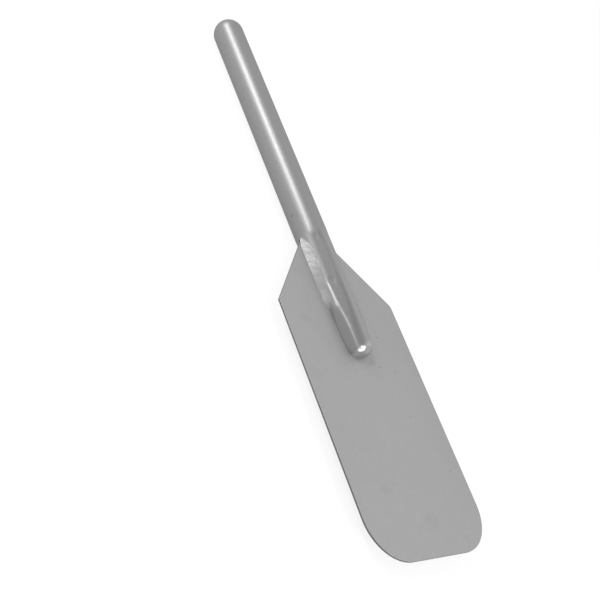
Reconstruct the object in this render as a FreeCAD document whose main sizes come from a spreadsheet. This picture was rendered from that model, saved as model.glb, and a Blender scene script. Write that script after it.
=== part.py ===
import FreeCAD, Part
import math
import os
import Sketcher

# Stainless steel mixing paddle: a flat sheet blade on a hollow tube handle.
# The blade's neck passes through two slits in the tube's swaged lower end,
# where rounded plugs close the tube and fillet welds hold it to the sheet.
# Every body is drawn about the tube's axis, with X measured from the blade's
# end towards the domed end. Its Placement then moves it to the part's origin,
# below the middle of the paddle at the tube's underside.

doc = FreeCAD.newDocument("mixing_paddle")

sheet = doc.addObject("Spreadsheet::Sheet", "sizes")
dimensions = [
    ("overall_length", 600, "blade's end to the dome's tip"),
    ("blade_width", 150, "across the straight sides"),
    ("blade_thickness", 2, "sheet"),
    ("blade_length", 316, "blade's end to the top edge inside the tube"),
    ("side_length", 246, "blade's end to the shoulder corners"),
    ("blade_offset", 1.5, "middle of the sheet behind the tube's axis"),
    ("corner_radius", 40, "bottom corners of the blade"),
    ("tube_diameter", 32, "outside of the handle"),
    ("tube_wall", 1.5, "handle and end cap"),
    ("swage_drop", 0.2, "slit end swaged this far below the plain tube"),
    ("swage_step", 4, "cone between the plain tube and the slit end"),
    ("taper_start", 238, "blade's end to where the slit end narrows"),
    ("nose_diameter", 26, "outside of the slit end at its mouth"),
    ("nose_radius", 6.5, "rounding of the nose plugs"),
    ("nose_end", 187, "blade's end to the nose"),
    ("plug_depth", 6, "nose plug inside the tube"),
    ("plug_clearance", 0.1, "nose plug to the tube's bore"),
    ("slit_clearance", 0.1, "sheet to each side of the slit"),
    ("slit_overrun", 4, "slit beyond the blade's top edge"),
    ("root_crown", 0.3, "root weld above the tube's surface"),
    ("cap_skirt", 4, "straight part of the end cap"),
    ("cap_bevel", 1, "weld groove on the tube and the cap"),
    ("seam_leg", 4, "leg of the fillet welds"),
    ("seam_tip", 0.7, "width left at the ends of the fillet welds"),
    ("seam_start", 252, "blade's end to the fillet welds"),
    ("seam_run_in", 10, "length over which a fillet weld grows"),
    ("seam_run_out", 7, "length over which a fillet weld fades"),
    ("seam_gap", 1, "fillet welds to the blade's top edge"),
]
for row, (alias, value, meaning) in enumerate(dimensions, 1):
    sheet.set(f"A{row}", meaning)
    sheet.set(f"B{row}", str(value))
    sheet.setAlias(f"B{row}", alias)
doc.recompute()


def in_sheet(text):
    """Put the sheet's name before every alias in an expression."""
    words = sorted((alias for alias, _, _ in dimensions), key=len, reverse=True)
    for number, word in enumerate(words):
        text = text.replace(word, f"<{number}>")
    for number, word in enumerate(words):
        text = text.replace(f"<{number}>", f"sizes.{word}")
    return text


def number(text):
    """Value that an expression has now."""
    return float(sheet.evalExpression(in_sheet(text)))


# ---- Helpers for bodies and sketches ----

def new_body(label, turn=0):
    """Body placed in the part's frame, turned about the handle's axis."""
    body = doc.addObject("PartDesign::Body", label)
    body.Label = label
    body.setExpression("Placement.Base.x", in_sheet("-overall_length / 2"))
    body.setExpression("Placement.Base.z", in_sheet("tube_diameter / 2"))
    body.Placement.Rotation = FreeCAD.Rotation(FreeCAD.Vector(1, 0, 0), turn)
    return body


def new_sketch(body, name, role="XY_Plane", offset=None):
    """Sketch on one of the body's origin planes, moved along its normal."""
    sketch = body.newObject("Sketcher::SketchObject", name)
    plane = next(item for item in body.Origin.OriginFeatures if item.Role == role)
    sketch.AttachmentSupport = [(plane, "")]
    sketch.MapMode = "FlatFace"
    if offset is not None:
        sketch.AttachmentOffset.Base = FreeCAD.Vector(0, 0, number(offset))
        sketch.setExpression("AttachmentOffset.Base.z", in_sheet(offset))
    return sketch


def draw_outline(sketch, corners):
    """Closed outline through corners given as (x, y, edge) expressions.

    The edge leaves its corner straight when it is None, else as an arc of the
    given (radius, side): side 1 has its centre to the left of the way taken.
    """
    points = [FreeCAD.Vector(number(x), number(y), 0) for x, y, _ in corners]
    ends = []
    for index, (_, _, edge) in enumerate(corners):
        start, stop = points[index], points[(index + 1) % len(points)]
        if edge is None:
            geometry = sketch.addGeometry(Part.LineSegment(start, stop), False)
            ends.append((geometry, 1, 2))
            continue
        radius, side = number(edge[0]), edge[1]
        chord = stop - start
        left = FreeCAD.Vector(-chord.y, chord.x, 0).normalize()
        rise = math.sqrt(max(radius ** 2 - chord.Length ** 2 / 4, 0))
        centre = (start + stop) / 2 + left * (side * rise)
        first, last = (start, stop) if side > 0 else (stop, start)
        angles = [math.atan2(p.y - centre.y, p.x - centre.x) for p in (first, last)]
        circle = Part.Circle(centre, FreeCAD.Vector(0, 0, 1), radius)
        geometry = sketch.addGeometry(Part.ArcOfCircle(circle, *angles), False)
        ends.append((geometry, 1, 2) if side > 0 else (geometry, 2, 1))
    for index, (geometry, start, _) in enumerate(ends):
        before, _, stop = ends[index - 1]
        sketch.addConstraint(Sketcher.Constraint("Coincident", before, stop, geometry, start))
    for index, (x, y, edge) in enumerate(corners):
        geometry, start, _ = ends[index]
        for kind, text, axis in (("DistanceX", x, -2), ("DistanceY", y, -1)):
            if text == "0":
                sketch.addConstraint(
                    Sketcher.Constraint("PointOnObject", geometry, start, axis))
                continue
            place = sketch.addConstraint(
                Sketcher.Constraint(kind, -1, 1, geometry, start, number(text)))
            sketch.setExpression(f"Constraints[{place}]", in_sheet(text))
        if edge is not None:
            size = sketch.addConstraint(
                Sketcher.Constraint("Radius", geometry, number(edge[0])))
            sketch.setExpression(f"Constraints[{size}]", in_sheet(edge[0]))


def add_feature(body, kind, name, sketch, **settings):
    """PartDesign feature from a sketch; text settings are expressions."""
    feature = body.newObject(f"PartDesign::{kind}", name)
    feature.Profile = sketch
    for setting, value in settings.items():
        if isinstance(value, str):
            feature.setExpression(setting, in_sheet(value))
        else:
            setattr(feature, setting, value)
    sketch.Visibility = False
    return feature


def revolve(body, name, sketch, angle=360, kind="Revolution"):
    """Solid of revolution, or groove, about the handle's axis."""
    return add_feature(body, kind, name, sketch,
                       ReferenceAxis=(sketch, ["H_Axis"]), Angle=angle)


def box_outline(x_low, x_high, y_low, y_high):
    return [(x_low, y_low, None), (x_high, y_low, None),
            (x_high, y_high, None), (x_low, y_high, None)]


# ---- Blade: flat sheet, rounded at the bottom, sloping in to the tube ----

blade = new_body("blade")
outline = new_sketch(blade, "blade_outline", offset="-blade_offset")
corner = ("corner_radius", 1)
draw_outline(outline, [
    ("blade_length", "tube_diameter / 2", None),
    ("side_length", "blade_width / 2", None),
    ("corner_radius", "blade_width / 2", corner),
    ("0", "blade_width / 2 - corner_radius", None),
    ("0", "-(blade_width / 2 - corner_radius)", corner),
    ("corner_radius", "-blade_width / 2", None),
    ("side_length", "-blade_width / 2", None),
    ("blade_length", "-tube_diameter / 2", None),
])
add_feature(blade, "Pad", "blade_sheet", outline, Midplane=True, Length="blade_thickness")


# ---- Handle tube: plain down to the slits, swaged below, narrowing to its mouth ----

bore = "(tube_diameter / 2 - tube_wall)"
mouth = "(nose_end + nose_radius)"
cap_joint = "(overall_length - tube_diameter / 2 - cap_skirt)"
slit_end_round = "(tube_diameter / 2 - swage_drop)"
taper_drop = f"({slit_end_round} - nose_diameter / 2)"
slit_width = "blade_thickness + 2 * slit_clearance"
slit_end = "(blade_length + slit_overrun)"
taper_run = f"(taper_start - {mouth})"
taper_radius = f"(({taper_run} ^ 2 + {taper_drop} ^ 2) / (2 * {taper_drop}))"
slit_end_outside = [
    (slit_end, "tube_diameter / 2", None),
    (f"{slit_end} - swage_step", slit_end_round, None),
    ("taper_start", slit_end_round, (taper_radius, 1)),
    (mouth, "nose_diameter / 2", None),
]

handle_tube = new_body("handle_tube")
profile = new_sketch(handle_tube, "tube_profile")
draw_outline(profile, [
    (cap_joint, "tube_diameter / 2 - cap_bevel", None),
    (f"{cap_joint} - cap_bevel", "tube_diameter / 2", None),
    *slit_end_outside,
    (mouth, "nose_diameter / 2 - tube_wall", (taper_radius, -1)),
    ("taper_start", f"{slit_end_round} - tube_wall", None),
    (f"{slit_end} - swage_step", f"{slit_end_round} - tube_wall", None),
    (slit_end, bore, None),
    (cap_joint, bore, None),
])
revolve(handle_tube, "tube_shell", profile)
slit = new_sketch(handle_tube, "slit_outline", offset="-blade_offset")
draw_outline(slit, box_outline(f"{mouth} - plug_depth", slit_end,
                               "-tube_diameter", "tube_diameter"))
add_feature(handle_tube, "Pocket", "blade_slit", slit, Midplane=True, Length=slit_width)


# ---- End cap: pressed dome with a short skirt, butted on the tube ----

end_cap = new_body("end_cap")
profile = new_sketch(end_cap, "cap_profile")
draw_outline(profile, [
    ("overall_length", "0", ("tube_diameter / 2", 1)),
    ("overall_length - tube_diameter / 2", "tube_diameter / 2", None),
    (f"{cap_joint} + cap_bevel", "tube_diameter / 2", None),
    (cap_joint, "tube_diameter / 2 - cap_bevel", None),
    (cap_joint, bore, None),
    ("overall_length - tube_diameter / 2", bore, (bore, -1)),
    ("overall_length - tube_wall", "0", None),
])
revolve(end_cap, "cap_shell", profile)

# The ring fills the two bevels and is ground level with the tube.
cap_weld = new_body("cap_weld")
profile = new_sketch(cap_weld, "groove_profile")
draw_outline(profile, [
    (f"{cap_joint} + cap_bevel", "tube_diameter / 2", None),
    (f"{cap_joint} - cap_bevel", "tube_diameter / 2", None),
    (cap_joint, "tube_diameter / 2 - cap_bevel", None),
])
revolve(cap_weld, "weld_ring", profile)


# ---- Nose plugs: one on each face of the blade, closing the swaged end ----

# Height of each face of the sheet over the tube's axis, and the turn that
# brings a body drawn on the front face over to it.
faces = {
    "front": ("(blade_thickness / 2 - blade_offset)", 0),
    "back": ("(blade_thickness / 2 + blade_offset)", 180),
}
plug_radius = "(nose_diameter / 2 - tube_wall - plug_clearance)"
for face, (level, turn) in faces.items():
    name = f"nose_plug_{face}"
    plug = new_body(name, turn)
    profile = new_sketch(plug, f"{name}_profile")
    draw_outline(profile, [
        (f"{mouth} + plug_depth", "0", None),
        (f"{mouth} + plug_depth", plug_radius, None),
        (mouth, plug_radius, None),
        (mouth, "nose_diameter / 2", ("nose_radius", 1)),
        ("nose_end", "nose_diameter / 2 - nose_radius", None),
        ("nose_end", "0", None),
    ])
    revolve(plug, f"{name}_round", profile)
    seat = new_sketch(plug, f"{name}_seat", offset=level)
    draw_outline(seat, box_outline("nose_end - plug_depth", f"{mouth} + 2 * plug_depth",
                                   "-nose_diameter", "nose_diameter"))
    add_feature(plug, "Pocket", f"{name}_seat_cut", seat, Length="tube_diameter")


# ---- Fillet welds: hollow fillets from the sheet up the side of the tube ----

seam_end = "(blade_length - seam_gap)"
seam_toe = f"({slit_end_round} + seam_leg)"
for face, (level, turn) in faces.items():
    for hand, way in (("left", 1), ("right", -1)):
        # Turned over to the back face, a body lands on the other hand.
        side = way if face == "front" else -way
        name = f"seam_weld_{face}_{hand}"
        seam = new_body(name, turn)
        height = f"({level} + seam_leg)"
        section = new_sketch(seam, f"{name}_section", "YZ_Plane", "seam_start")
        draw_outline(section, [
            (f"{side} * {seam_toe}", level, ("2 * seam_leg", -side)),
            (f"{side} * sqrt({slit_end_round} ^ 2 - {height} ^ 2)", height,
             (slit_end_round, -side)),
            (f"{side} * sqrt({slit_end_round} ^ 2 - {level} ^ 2)", level, None),
        ])
        add_feature(seam, "Pad", f"{name}_bead", section, Length=f"{seam_end} - seam_start")
        # Both ends fade towards the tube.
        for end, tip, full in (
            ("start", "seam_start", "seam_start + seam_run_in"),
            ("end", seam_end, f"{seam_end} - seam_run_out"),
        ):
            fade = new_sketch(seam, f"{name}_{end}_fade", offset=f"{level} + 2 * seam_leg")
            draw_outline(fade, [
                (tip, f"{side} * ({slit_end_round} + seam_tip)", None),
                (full, f"{side} * {seam_toe}", None),
                (full, f"{side} * 2 * {seam_toe}", None),
                (tip, f"{side} * 2 * {seam_toe}", None),
            ])
            add_feature(seam, "Pocket", f"{name}_{end}_cut", fade, Length="4 * seam_leg")


# ---- Root welds: metal that closes each slit above the blade ----

for hand, side in (("left", 1), ("right", -1)):
    name = f"root_weld_{hand}"
    root = new_body(name)
    fill = new_sketch(root, f"{name}_outline", offset="-blade_offset")
    draw_outline(fill, box_outline("blade_length", slit_end, f"{side} * {bore}",
                                   f"{side} * (tube_diameter / 2 + root_crown)"))
    add_feature(root, "Pad", f"{name}_fill", fill, Midplane=True, Length=slit_width)


# ---- Check every object, then write one file for each piece ----

doc.recompute()
for item in doc.Objects:
    if "Invalid" in item.State or "Error" in item.State:
        raise RuntimeError(f"{item.Label} failed: {item.State}")
pieces = [item for item in doc.Objects if item.TypeId == "PartDesign::Body"]
for piece in pieces:
    if piece.Shape.isNull() or not piece.Shape.isValid() or len(piece.Shape.Solids) != 1:
        raise RuntimeError(f"{piece.Label} is not one valid solid")
    cuts = [item for item in piece.Group if item.TypeId in
            ("PartDesign::Pocket", "PartDesign::Groove")]
    for cut in cuts:
        if cut.Shape.Volume >= cut.BaseFeature.Shape.Volume - 1e-6:
            raise RuntimeError(f"{cut.Label} cuts nothing")

os.makedirs("parts", exist_ok=True)
for piece in pieces:
    piece.Shape.exportStep(f"parts/{piece.Label}.step")
    print(f"{piece.Label}: {piece.Shape.Volume:.1f} mm3")
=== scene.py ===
import bmesh
import bpy
from math import atan2, cos, pi, radians, sin, sqrt
from mathutils import Matrix, Vector


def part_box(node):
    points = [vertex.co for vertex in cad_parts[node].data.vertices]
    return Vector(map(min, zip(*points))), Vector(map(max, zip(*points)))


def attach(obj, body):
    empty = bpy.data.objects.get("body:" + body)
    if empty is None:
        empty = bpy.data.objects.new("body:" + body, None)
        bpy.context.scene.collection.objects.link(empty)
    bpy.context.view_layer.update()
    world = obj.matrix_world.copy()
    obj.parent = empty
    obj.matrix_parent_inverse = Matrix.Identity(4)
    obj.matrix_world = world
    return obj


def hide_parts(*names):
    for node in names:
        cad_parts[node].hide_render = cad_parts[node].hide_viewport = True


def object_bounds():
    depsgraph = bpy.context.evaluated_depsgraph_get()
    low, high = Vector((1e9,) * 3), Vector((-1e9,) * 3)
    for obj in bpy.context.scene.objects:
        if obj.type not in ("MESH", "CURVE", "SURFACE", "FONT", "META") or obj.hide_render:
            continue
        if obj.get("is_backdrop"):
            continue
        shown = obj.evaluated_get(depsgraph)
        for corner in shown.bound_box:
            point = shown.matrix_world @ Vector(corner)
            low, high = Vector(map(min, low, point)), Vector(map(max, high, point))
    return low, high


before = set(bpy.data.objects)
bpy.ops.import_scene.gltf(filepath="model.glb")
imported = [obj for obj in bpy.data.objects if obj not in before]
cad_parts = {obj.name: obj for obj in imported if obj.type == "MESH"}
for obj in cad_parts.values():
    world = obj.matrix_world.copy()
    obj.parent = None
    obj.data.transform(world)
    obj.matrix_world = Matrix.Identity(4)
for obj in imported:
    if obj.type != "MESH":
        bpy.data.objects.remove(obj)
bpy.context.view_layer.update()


# ---- Blade ----
# One piece of 2 mm stainless sheet, cut to a house shape whose neck passes
# through the tube, with the bottom corners rounded and the cut edges dressed.
# It keeps the mill's fine satin, with scuffs and a few specks from use.

blade_low, blade_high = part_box("blade")
blade_middle = (blade_low + blade_high) / 2
corner_round = 0.040
side_length = 0.246
neck_half = 0.016


def begin(name, primitive, **settings):
    """A new primitive under its own name, at the origin, ready for edit mode."""
    bpy.ops.object.select_all(action="DESELECT")
    primitive(**settings)
    piece = bpy.context.object
    piece.name = piece.data.name = name
    bpy.ops.object.transform_apply(location=True, rotation=True, scale=True)
    bpy.ops.object.mode_set(mode="EDIT")
    bpy.ops.mesh.select_mode(type="VERT")
    bpy.ops.mesh.select_all(action="SELECT")
    return piece


def pick(piece, kind, test):
    """Selects the faces, edges or verts whose middle passes the test."""
    bpy.ops.mesh.select_all(action="DESELECT")
    bpy.ops.mesh.select_mode(type={"verts": "VERT", "edges": "EDGE", "faces": "FACE"}[kind])
    mesh = bmesh.from_edit_mesh(piece.data)
    for item in getattr(mesh, kind):
        corners = [item] if kind == "verts" else item.verts
        middle = sum((corner.co for corner in corners), Vector()) / len(corners)
        if test(item, middle):
            item.select_set(True)
    mesh.select_flush_mode()
    bmesh.update_edit_mesh(piece.data)


def slice_off(point, outward):
    """Cuts all of the piece with a plane, drops the far side and closes the cut."""
    bpy.ops.mesh.select_all(action="SELECT")
    bpy.ops.mesh.bisect(plane_co=point, plane_no=outward, use_fill=True, clear_outer=True)


def modify(piece, kind, **settings):
    """Adds a modifier with its settings and applies it."""
    bpy.context.view_layer.objects.active = piece
    modifier = piece.modifiers.new(kind.lower(), kind)
    for name, value in settings.items():
        setattr(modifier, name, value)
    bpy.ops.object.modifier_apply(modifier=modifier.name)


def done(piece, *nodes, slot="stainless_steel", sharp=35):
    """Leaves edit mode, shades the piece and hands it over in place of its CAD nodes."""
    if bpy.context.mode != "OBJECT":
        bpy.ops.object.mode_set(mode="OBJECT")
    bpy.ops.object.select_all(action="DESELECT")
    piece.select_set(True)
    bpy.context.view_layer.objects.active = piece
    bpy.ops.object.shade_smooth_by_angle(angle=radians(sharp))
    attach(piece, "root")
    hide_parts(*nodes)


def upright(edge):
    """True for an edge that goes through the sheet from face to face."""
    return abs(edge.verts[0].co.z - edge.verts[1].co.z) > 0.001


blade = begin("paddle_blade", bpy.ops.mesh.primitive_cube_add, size=1, location=blade_middle,
              scale=blade_high - blade_low)
pick(blade, "edges", lambda edge, at: upright(edge) and at.x < blade_middle.x)
bpy.ops.mesh.bevel(offset=corner_round, segments=20, affect="EDGES")
# Each shoulder is cut from the side to the neck, a little off its mark: by slip at
# the side, and by slip and more at the neck.
shoulder = Vector((blade_low.x + side_length, blade_high.y, 0))
neck = Vector((blade_high.x, neck_half, 0))
for side, slip, more in ((1, -0.0015, 0.0004), (-1, 0.0012, 0.0018)):
    mirror = Vector((1, side, 1))
    cut = (neck + Vector((more, 0, 0)) - shoulder) * mirror
    slice_off(shoulder * mirror + Vector((slip, 0, 0)), Vector((abs(cut.y), side * cut.x, 0)))
# The right shoulder's corner is eased, and the left one is sharp.
right_corner = shoulder * Vector((1, -1, 1))
pick(blade, "edges", lambda edge, at: upright(edge) and (at - right_corner).xy.length < 0.01)
bpy.ops.mesh.bevel(offset=0.0028, segments=6, affect="EDGES")
bpy.ops.object.mode_set(mode="OBJECT")
modify(blade, "BEVEL", width=0.00035, segments=3, limit_method="ANGLE",
       angle_limit=radians(60))


class Field:
    """A value that varies over a finish; sums and products of fields add their Math nodes."""

    def __init__(self, tree, socket=None):
        self.tree, self.socket = tree, socket

    def node(self, kind, settings=None, inputs=None, output=0):
        """Adds a node: its settings first, then the values or links of its inputs."""
        made = self.tree.nodes.new(f"ShaderNode{kind}")
        for name, value in (settings or {}).items():
            setattr(made, name, value)
        for name, value in (inputs or {}).items():
            if isinstance(value, Field):
                self.tree.links.new(value.socket, made.inputs[name])
            else:
                made.inputs[name].default_value = value
        return Field(self.tree, made.outputs[output] if made.outputs else None)

    def maths(self, operation, first, second):
        return self.node("Math", {"operation": operation}, {0: first, 1: second})

    def __add__(self, other):
        return self.maths("ADD", self, other)

    def __sub__(self, other):
        return self.maths("SUBTRACT", self, other)

    def __rsub__(self, other):
        return self.maths("SUBTRACT", other, self)

    def __mul__(self, other):
        return self.maths("MULTIPLY", self, other)

    __radd__ = __add__
    __rmul__ = __mul__


def finish(name):
    """An empty material and the Object coordinates that its patterns are laid on."""
    material = bpy.data.materials.new(name)
    material.use_nodes = True
    material.node_tree.nodes.clear()
    return material, Field(material.node_tree).node("TexCoord", output="Object")


def noise(place, scale, detail=3.0):
    """Soft noise round zero, about -0.5 to 0.5; scale is in patches to the metre."""
    return place.node("TexNoise", {}, {"Vector": place, "Scale": scale,
                                       "Detail": detail}) - 0.5


def band(place, value, low, high):
    """0 below low, 1 above high, and a smooth rise between."""
    return place.node("MapRange", {"interpolation_type": "SMOOTHSTEP"},
                      {"Value": value, "From Min": low, "From Max": high})


def grey(place, level):
    """A neutral colour of that level."""
    return place.node("CombineColor", {}, {"Red": level, "Green": level, "Blue": level})


def gap_to(place, spot):
    """How far the surface is from a spot, in metres."""
    return place.node("VectorMath", {"operation": "DISTANCE"}, {0: place, 1: spot},
                      output="Value")


def steel(place, level, roughness, bump_height, bump_distance, metal=0.6):
    """Satin steel: its level and roughness vary, and a height in metres makes its relief.

    The fine scratches scatter part of the light every way, so it isn't all metal. The
    edge tint keeps it from brightening where it turns away.
    """
    relief = place.node("Bump", {}, {"Height": bump_height, "Distance": bump_distance,
                                     "Strength": 1.0})
    edge_tint = 0.6
    shader = place.node("BsdfPrincipled", {}, {
        "Base Color": grey(place, level), "Metallic": metal, "Roughness": roughness,
        "Specular Tint": (edge_tint, edge_tint, edge_tint, 1), "Normal": relief})
    place.node("OutputMaterial", {}, {"Surface": shader})


satin, place = finish("satin_sheet")
# The satin's own level, with its fine grain, mottling and broad clouds.
level = (0.335 + 0.035 * noise(place, 350, 5) + 0.020 * noise(place, 60, 4)
         + 0.02 * noise(place, 14, 3))
# Marks on the front of the sheet, as x, y, size and how much darker they are.
rubbed_patches = ((-0.074, 0.050, 0.007, 0.012), (-0.130, 0.064, 0.008, 0.012),
                  (-0.237, 0.035, 0.009, 0.012), (-0.270, -0.006, 0.012, 0.015),
                  (-0.288, -0.041, 0.006, 0.012), (-0.116, -0.012, 0.005, 0.015))
specks = ((-0.0853, -0.0356, 0.0008, 0.2), (-0.0898, -0.0350, 0.0010, 0.2),
          (-0.1216, -0.0208, 0.0011, 0.1), (-0.1264, -0.0387, 0.0011, 0.1),
          (-0.1732, -0.0336, 0.0012, 0.1), (-0.1296, -0.0711, 0.0012, 0.1),
          (-0.2268, -0.0592, 0.0012, 0.08))
for x, y, size, darker in rubbed_patches + specks:
    wander = grey(place, 0.5 * size * noise(place, 0.7 / size))
    ragged = place.node("VectorMath", {"operation": "ADD"}, {0: place, 1: wander})
    apart = gap_to(ragged, (x, y, blade_high.z))
    level = level - darker * (1 - band(place, apart, size * 0.4, size))
steel(place, level, 0.50 + 0.06 * noise(place, 60, 4),
      noise(place, 900, 3) * 0.3 + noise(place, 90, 3), 0.00003)
blade.data.materials.append(satin)

# The cut edges are rougher, and their base is painted dark as painted shade.
dark_painted_edge, place = finish("edge_painted_dark")
steel(place, 0.13 + 0.06 * noise(place, 300, 4), 0.45 + 0.1 * noise(place, 200, 4),
      noise(place, 800, 4), 0.0001)
blade.data.materials.append(dark_painted_edge)
# The edge's rough finish and its painted shade go on the faces that don't look up or down.
for face in blade.data.polygons:
    face.material_index = 1 if abs(face.normal.z) < 0.6 else 0
done(blade, "blade", sharp=25)


# ---- Handle tube ----
# 32 x 1.5 mm stainless tube, closed at both ends, so only its outside is made. Its lower
# end is slit, swaged a little smaller over the sheet and drawn in to a blunt mouth, and
# then ground and polished with the welds.

tube_low, tube_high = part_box("handle_tube")
axis = (tube_low.z + tube_high.z) / 2
tube_round = tube_high.z - axis
slit_round = tube_round - 0.0002
mouth_round = 0.013
nose_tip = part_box("nose_plug_front")[0].x
slit_end = blade_high.x + 0.004
swage_length = 0.004
taper_start = blade_low.x + 0.238
cap_bevel = 0.001


def turned(name, profile):
    """A turned piece: the profile, as (x, radius), is drawn from point to point and spun."""
    (x, radius), rest = profile[0], profile[1:]
    piece = begin(name, bpy.ops.mesh.primitive_plane_add, size=0.001,
                  location=(x, 0, axis + radius))
    bpy.ops.mesh.merge(type="CENTER")
    for x_next, radius_next in rest:
        bpy.ops.mesh.extrude_region_move(
            TRANSFORM_OT_translate={"value": (x_next - x, 0, radius_next - radius)})
        x, radius = x_next, radius_next
    bpy.ops.mesh.select_all(action="SELECT")
    bpy.ops.mesh.spin(steps=240, angle=2 * pi, center=(0, 0, axis), axis=(1, 0, 0))
    bpy.ops.mesh.select_all(action="SELECT")
    bpy.ops.mesh.remove_doubles(threshold=0.000002)
    bpy.ops.mesh.select_all(action="SELECT")
    bpy.ops.mesh.normals_make_consistent(inside=False)
    return piece


def press_flat(piece, turn, depth, tilt, low, high, ridge, blend=1):
    """Presses what lies outside a plane flat on to it, then softens the flat's two edges.

    The plane faces turn degrees up from the paddle's left, its distance from the axis
    is depth where x is low, and tilt is how far it leans towards the dome. The flat runs
    from x low to high. Ridge is how often the flat and its edges are smoothed, and blend
    how often its upper side is smoothed after that, farther out.
    """
    normal = Vector((tilt, cos(radians(turn)), sin(radians(turn)))).normalized()
    point = Vector((low, 0, axis)) + normal * depth
    uphill = Vector((0, -normal.z, normal.y)).normalized()

    def near(at, under):
        """True from low to high for what is outside the plane or less than that under it."""
        return low - 0.0001 < at.x < high and (at - point).dot(normal) > -under

    pick(piece, "faces", lambda face, at: near(at, 0.002))
    bpy.ops.mesh.bisect(plane_co=point, plane_no=normal)
    pick(piece, "verts", lambda vert, at: near(at, 0))
    turned_to = normal.to_track_quat("Z", "X").to_matrix()
    bpy.ops.transform.resize(value=(1, 1, 0), orient_type="GLOBAL", orient_matrix=turned_to,
                             orient_matrix_type="GLOBAL", center_override=point)
    pick(piece, "verts", lambda vert, at: near(at, 0.0008))
    bpy.ops.mesh.vertices_smooth(factor=0.5, repeat=ridge, xaxis=False)
    pick(piece, "verts", lambda vert, at: near(at, 0.0030) and (at - point).dot(uphill) > 0)
    bpy.ops.mesh.vertices_smooth(factor=0.5, repeat=blend, xaxis=False)


def copy_of(piece, name):
    """A copy of a piece with a mesh of its own, ready for edit mode."""
    bpy.ops.object.select_all(action="DESELECT")
    piece.select_set(True)
    bpy.context.view_layer.objects.active = piece
    bpy.ops.object.duplicate()
    copied = bpy.context.object
    copied.name = copied.data.name = name
    bpy.ops.object.mode_set(mode="EDIT")
    return copied


# The outline: the cap's end with its weld bevel, the plain tube, the swaged end, drawn in
# on a long arc, and the nose. The nose's arc is twice as wide as it is long, so it starts
# at half the lean that the taper ends with.
swage_foot = slit_end - swage_length
drop, run = slit_round - mouth_round, taper_start - tube_low.x
draw = (run ** 2 + drop ** 2) / (2 * drop)
lean = atan2(run, draw - drop) / 2
outline = [(tube_high.x, 0), (tube_high.x, tube_round - cap_bevel),
           (tube_high.x - cap_bevel, tube_round)]
outline += [(slit_end + share * (tube_high.x - cap_bevel - slit_end), tube_round)
            for share in (0.75, 0.5, 0.25, 0.03, 0.02, 0.01, 0)]
for step in range(81):
    x = swage_foot + step / 80 * (tube_low.x - swage_foot)
    past = max(0, taper_start - x)
    outline.append((x, slit_round - draw + sqrt(draw ** 2 - past ** 2)))
for step in range(1, 21):
    turn = lean + (pi / 2 - lean) * step / 20
    outline.append((tube_low.x + (nose_tip - tube_low.x) * (sin(turn) - sin(lean))
                    / (1 - sin(lean)), mouth_round * cos(turn) / cos(lean)))
drawn = turned("drawn_end", outline)

# Its lower left is ground flat from the welds' end down over the nose. Along its top are
# the shallow flats of the dressing: a short ramp, one beside the weld, and one on to the
# nose, which meet in a bend. Two small flats are on the nose itself.
weld_end = -0.063
ridge_bend = -0.0345
ramp_foot = 0.015
press_flat(drawn, turn=20, depth=0.01184, tilt=-0.0775, low=nose_tip,
           high=weld_end + 0.0005, ridge=20)
press_flat(drawn, turn=57, depth=0.01480, tilt=-0.160, low=ramp_foot, high=0.028,
           ridge=8, blend=20)
press_flat(drawn, turn=57, depth=0.01480, tilt=0.0, low=-0.036,
           high=ramp_foot + 0.0005, ridge=10, blend=30)
press_flat(drawn, turn=55, depth=0.0152, tilt=0.0195, low=-0.086, high=ridge_bend,
           ridge=20, blend=40)
press_flat(drawn, turn=58, depth=0.00527, tilt=-0.92, low=nose_tip, high=-0.100, ridge=3)
press_flat(drawn, turn=100, depth=0.00196, tilt=-1.50, low=nose_tip - 0.001,
           high=-0.104, ridge=2)
pick(drawn, "verts", lambda vert, at: abs(at.x - ridge_bend) < 0.006 and at.z > axis + 0.012)
bpy.ops.mesh.vertices_smooth(factor=0.5, repeat=40, xaxis=False)
bpy.ops.object.mode_set(mode="OBJECT")

tube = copy_of(drawn, "tube_handle")
slice_off((tube_low.x, 0, 0), (-1, 0, 0))
bpy.ops.object.mode_set(mode="OBJECT")
# The saw runs out past the mouth, is wider than the tube, and leaves the sheet a slip fit.
saw_tip = tube_low.x - 0.006
saw_width = 0.06
saw_slack = 0.0002
saw = begin("slit_saw", bpy.ops.mesh.primitive_cube_add, size=1,
            location=((slit_end + saw_tip) / 2, 0, blade_middle.z),
            scale=(slit_end - saw_tip, saw_width, blade_high.z - blade_low.z + saw_slack))
bpy.ops.object.mode_set(mode="OBJECT")
modify(tube, "BOOLEAN", object=saw, operation="DIFFERENCE", solver="EXACT")
bpy.data.objects.remove(saw)

handle_satin, place = finish("satin_tube")
along, across, height = (place.node("SeparateXYZ", {}, {0: place}, output=name)
                         for name in ("X", "Y", "Z"))
# 1 on the ground and polished slit end, 0 on the plain tube.
polished = 1 - band(place, along + 0.006 * noise(place, 90), slit_end - 0.008,
                    slit_end + 0.002)
# 1 low on the flanks below the welds, which are rougher and painted darker as painted shade.
dull_flank_painted_dark = polished * (1 - band(place, height, axis + 0.0085, axis + 0.0105))
dull_flank_painted_dark = dull_flank_painted_dark * (1 - band(place, along, -0.0670, -0.0600))
# 1 below the bend, where the ridge runs straight to the nose.
below = 1 - band(place, along, -0.043, -0.037)
# How far out the surface lies towards the upper right, 40 degrees from upright, and the
# same for the ridge. From the ridge over to the right runs a rougher band, painted darker as
# painted shade.
round_it = (height - axis) * cos(radians(40)) - across * sin(radians(40))
ridge = below * ((ridge_bend - along) * 0.0514 + 0.0008) - 0.0032
dull_band_painted_dark = polished * band(place, round_it - ridge, 0.0, 0.0015)
dull_band_painted_dark = dull_band_painted_dark * (1 - band(place, round_it, 0.0075, 0.0125))
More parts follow.
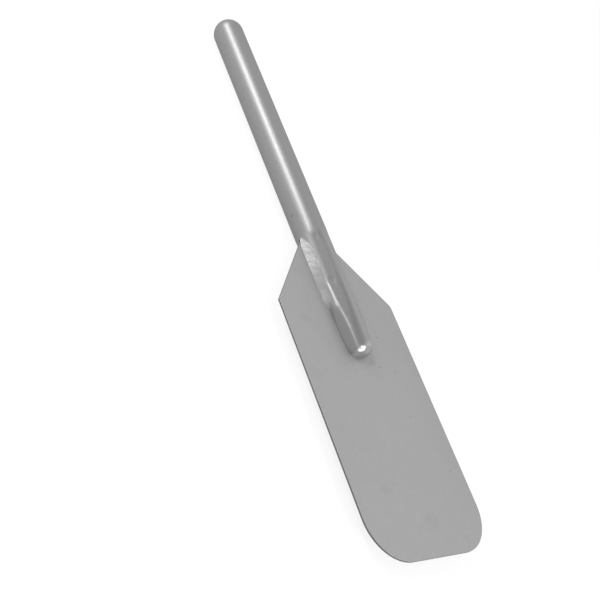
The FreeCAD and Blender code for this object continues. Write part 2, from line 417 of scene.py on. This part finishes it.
# 1 on the nose, which is smoother than the rest and painted lighter as painted light.
nose = 1 - band(place, along + 0.5 * across, -0.1075, -0.1015)
# Painted light and shade in the level: the nose is painted lighter, and the flanks and the
# band right of the ridge are painted darker.
level = (0.256 + 0.035 * noise(place, 300, 5) + 0.02 * noise(place, 15, 2)
         + 0.03 * polished + 0.05 * nose - (0.06 * dull_flank_painted_dark + 0.08 * dull_band_painted_dark) * (1 - nose))
# Two small darker spots: one on the tube's left above the slit, and one near the dome's tip
# that is a painted dark reflection.
for x, y, z, size in ((0.0425, 0.0160, 0.0163, 0.0024), (0.2990, 0.0030, 0.0180, 0.0020)):
    apart = gap_to(place, (x, y, z))
    level = level - 0.06 * (1 - band(place, apart + 0.002 * noise(place, 500), size / 3, size))
steel(place, level,
      0.44 - 0.12 * polished * below + (0.24 * dull_flank_painted_dark + 0.10 * dull_band_painted_dark) * (1 - nose)
      - 0.10 * nose + 0.04 * noise(place, 80, 4),
      noise(place, 1200, 3) * 0.3 + noise(place, 70, 3), 0.00002,
      metal=0.6 - 0.2 * nose)
tube.data.materials.append(handle_satin)
done(tube, "handle_tube")


# ---- End cap and its weld ----
# A pressed half-round cap, butt-welded to the tube; the weld is ground level and
# polished until cap and tube read as one.

cap_low, cap_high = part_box("end_cap")
dome_start = cap_high.x - tube_round
weld_crown = 0.00002
cap = turned("domed_end_cap",
             [(cap_low.x, 0), (cap_low.x, tube_round - cap_bevel),
              (cap_low.x + cap_bevel, tube_round)]
             + [(dome_start + tube_round * sin(pi / 2 * step / 24),
                 tube_round * cos(pi / 2 * step / 24)) for step in range(24)]
             + [(cap_high.x, 0)])
cap.data.materials.append(handle_satin)
done(cap, "end_cap")

ring = turned("cap_weld_ring",
              [(cap_low.x, tube_round - cap_bevel), (cap_low.x - cap_bevel, tube_round),
               (cap_low.x, tube_round + weld_crown), (cap_low.x + cap_bevel, tube_round),
               (cap_low.x, tube_round - cap_bevel)])
ring.data.materials.append(handle_satin)
done(ring, "cap_weld", slot="weld_metal")


# ---- Nose plugs ----
# Two half-round plugs, one on each face of the sheet, close the tube's mouth. They
# are welded in and polished with the slit end, so no joint shows.

for name, face, outward in (("front", blade_high.z, -1), ("back", blade_low.z, 1)):
    plug = copy_of(drawn, f"nose_plug_{name}_half")
    slice_off((tube_low.x, 0, 0), (1, 0, 0))
    slice_off((0, 0, face), (0, 0, outward))
    plug.data.materials.append(handle_satin)
    done(plug, f"nose_plug_{name}")
bpy.data.objects.remove(drawn)


# ---- Fillet welds ----
# Four hand-laid fillets, two on each face, from the sheet up the side of the tube. Each
# starts and ends small, is rippled where the puddle froze, and is ground in its lower half.

bead_metal, place = finish("weld_bead")
along = place.node("SeparateXYZ", {}, {0: place}, output="X")
# 1 on the rough first half of the bead, 0 where it was ground.
raw = band(place, along + 0.010 * noise(place, 120), -0.032, -0.010)
steel(place, 0.245 + 0.14 * raw * noise(place, 260, 3) + 0.05 * raw,
      0.60 - 0.08 * raw + 0.2 * noise(place, 250, 3),
      (0.1 + raw) * noise(place, 260, 3), 0.0005)

# Section: the toe on the sheet, a slightly hollow face, and the root in the tube.
weld_start = slit_end - 0.0034
bead_toe, bead_top, bead_height, bead_root = 0.0040, 0.0021, 0.0084, 0.003
sunk = 0.0002
toe = Vector((0, slit_round + bead_toe, -sunk))
top = Vector((0, slit_round - bead_top, bead_height))
hollow = Vector((0, -0.8, -0.6)) * 0.0003
section = [toe + (top - toe) * step / 8 + hollow * sin(pi * step / 8) for step in range(9)]
section.append(Vector((0, slit_round - bead_root, -sunk)))

bead_steps = 90
grow_steps = 12
rough_steps = 34
end_steps = 8
first_size = 0.3


def bead_size(step, side):
    """The bead's size at a step down its length, against its full section.

    It grows over the first steps, wavers as it goes, is ground down a little below its
    rough part, and runs out over the last steps.
    """
    size = (first_size + (1 - first_size) * min(1, step / grow_steps) ** 0.7
            + 0.012 * sin(step * 0.33 + side)
            - 0.12 * max(0, step - rough_steps) / (bead_steps - rough_steps))
    if step > bead_steps - end_steps:
        size *= 1 - 0.7 * ((step - bead_steps + end_steps) / end_steps) ** 1.5
    return size


stride = (weld_start - weld_end) / bead_steps
puddle = bpy.data.textures.new("puddle", "CLOUDS")
puddle.noise_scale = 0.005
puddle.noise_depth = 2
for face, way, sheet in (("front", 1, blade_high.z), ("back", -1, blade_low.z)):
    for hand, side in (("left", 1), ("right", -1)):
        bead = begin(f"fillet_{face}_{hand}", bpy.ops.mesh.primitive_plane_add, size=0.001,
                     location=(weld_start, side * section[0].y, sheet + way * section[0].z))
        bpy.ops.mesh.merge(type="CENTER")
        for before, after in zip(section, section[1:]):
            move = after - before
            bpy.ops.mesh.extrude_region_move(
                TRANSFORM_OT_translate={"value": (0, side * move.y, way * move.z)})
        bpy.ops.mesh.select_all(action="SELECT")
        bpy.ops.mesh.edge_face_add()
        # The section grows and shrinks about the corner of the sheet and the tube.
        root = Vector((weld_start, side * (slit_round - 0.0005), sheet))
        grown = first_size
        bpy.ops.transform.resize(value=(1, grown, grown), center_override=root)
        for step in range(1, bead_steps + 1):
            bpy.ops.mesh.extrude_region_move(
                TRANSFORM_OT_translate={"value": (-stride, 0, 0)})
            root.x -= stride
            size = bead_size(step, side)
            bpy.ops.transform.resize(value=(1, size / grown, size / grown),
                                     center_override=root)
            grown = size
        bpy.ops.mesh.select_all(action="SELECT")
        bpy.ops.mesh.normals_make_consistent(inside=False)
        bpy.ops.object.mode_set(mode="OBJECT")
        modify(bead, "SUBSURF", subdivision_type="SIMPLE", levels=1, render_levels=1)
        modify(bead, "DISPLACE", texture=puddle, texture_coords="LOCAL", strength=0.0004,
               mid_level=0.5)
        bead.data.materials.append(bead_metal)
        done(bead, f"seam_weld_{face}_{hand}", slot="weld_metal", sharp=60)


# ---- Root welds ----
# A drop of weld metal closes each side of the slit above the sheet's neck. It is ground
# flush and polished with the tube, so it has the tube's finish.

for hand, side in (("left", 1), ("right", -1)):
    low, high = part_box(f"root_weld_{hand}")
    root = begin(f"root_drop_{hand}", bpy.ops.mesh.primitive_cube_add, size=1,
                 location=(low + high) / 2, scale=high - low)
    bpy.ops.mesh.bevel(offset=0.0003, segments=2, affect="EDGES")
    root.data.materials.append(handle_satin)
    done(root, f"root_weld_{hand}", slot="weld_metal")


# ---- Floor, light and camera ----
# A white floor in a pale room. Soft strips light the handle from its upper left, and two
# small lamps catch the ridge and the nose.

bpy.ops.object.select_all(action="DESELECT")
bpy.ops.mesh.primitive_plane_add(size=8, location=(0, 0, 0))
floor = bpy.context.object
floor.name = "studio_floor"
paper, place = finish("white_paper")
seen = place.node("LightPath", output="Is Camera Ray")
shown = seen.maths("MAXIMUM", seen, place.node("LightPath", output="Is Glossy Ray"))
bounce = place.node("BsdfDiffuse", {}, {"Color": (0.6, 0.6, 0.6, 1)})
shade = place.node("BsdfDiffuse", {}, {"Color": (0.16, 0.16, 0.16, 1)})
glow = place.node("Emission", {}, {"Color": (1, 1, 1, 1), "Strength": 0.84})
lit = place.node("AddShader", {}, {0: shade, 1: glow})
surface = place.node("MixShader", {}, {0: shown, 1: bounce, 2: lit})
place.node("OutputMaterial", {}, {"Surface": surface})
floor.data.materials.append(paper)
floor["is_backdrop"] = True

world = bpy.data.worlds.new("studio")
bpy.context.scene.world = world
world.use_nodes = True
world.node_tree.nodes.clear()
sky = Field(world.node_tree).node("TexCoord", output="Generated")


def facing(x, y, z):
    """1 for the part of the room in that direction, and less all round it."""
    direction = Vector((x, y, z)).normalized()
    return sky.node("VectorMath", {"operation": "DOT_PRODUCT"}, {0: sky, 1: direction},
                    output="Value")


# The room is brighter to the upper right and darker overhead, and the camera sees it white.
room = 0.87 + 0.30 * band(sky, facing(0.0, -0.8, 0.6), 0.7, 1.0)
room = room - 0.50 * band(sky, facing(0.40, 0.16, 0.90), 0.91, 0.985)
seen = sky.node("LightPath", output="Is Camera Ray")
strength = seen + (1 - seen) * room
world_light = sky.node("Background", {}, {"Color": grey(sky, 1.0), "Strength": strength})
sky.node("OutputWorld", {}, {"Surface": world_light})


def soft_box(name, aim, toward, distance, length, width, power):
    """A soft box that looks at the aim from that direction, its length along the handle."""
    toward = Vector(toward).normalized()
    along = (Vector((1, 0, 0)) - toward * toward.x).normalized()
    data = bpy.data.lights.new(name, "AREA")
    data.shape = "RECTANGLE"
    data.size, data.size_y, data.energy = length, width, power
    box = bpy.data.objects.new(name, data)
    across = toward.cross(along)
    box.matrix_world = (Matrix.Translation(Vector(aim) + toward * distance)
                        @ Matrix((along, across, toward)).transposed().to_4x4())
    bpy.context.scene.collection.objects.link(box)


soft_box("strip_light", aim=(0.03, 0.0, 0.03), toward=(0.693, 0.482, 0.536),
         distance=1.6, length=0.85, width=0.17, power=8.9)
soft_box("strip_end", aim=(0.03, 0.0, 0.03), toward=(0.555, 0.557, 0.618),
         distance=1.6, length=0.2, width=0.16, power=5.8)
soft_box("ridge_light", aim=(-0.05, 0.0, 0.03), toward=(0.30, 0.826, 0.477),
         distance=1.3, length=0.22, width=0.2, power=1.4)
soft_box("nose_light", aim=(-0.11, 0.0, 0.03), toward=(-0.823, 0.023, 0.567),
         distance=1.3, length=0.34, width=0.34, power=4.6)

# The camera looks down at the paddle from its left, a little towards the blade's end.
aim = Vector((-0.0544, 0.0484, 0.0145))
back = Vector((-0.42316, 0.69473, 0.58163)).normalized()
camera_distance = 0.8826
roll = radians(49.154)
across = Vector((0, 0, 1)).cross(back).normalized()
rise = back.cross(across)
up = rise * cos(roll) - across * sin(roll)
right = up.cross(back)
camera_data = bpy.data.cameras.new("camera")
camera_data.lens = 59.52
camera_data.sensor_width = 36
camera = bpy.data.objects.new("camera", camera_data)
bpy.context.scene.collection.objects.link(camera)
turn = Matrix((right, up, back)).transposed().to_4x4()
camera.matrix_world = Matrix.Translation(aim + back * camera_distance) @ turn
bpy.context.scene.camera = camera

bpy.context.scene.view_settings.view_transform = "Standard"

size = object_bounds()
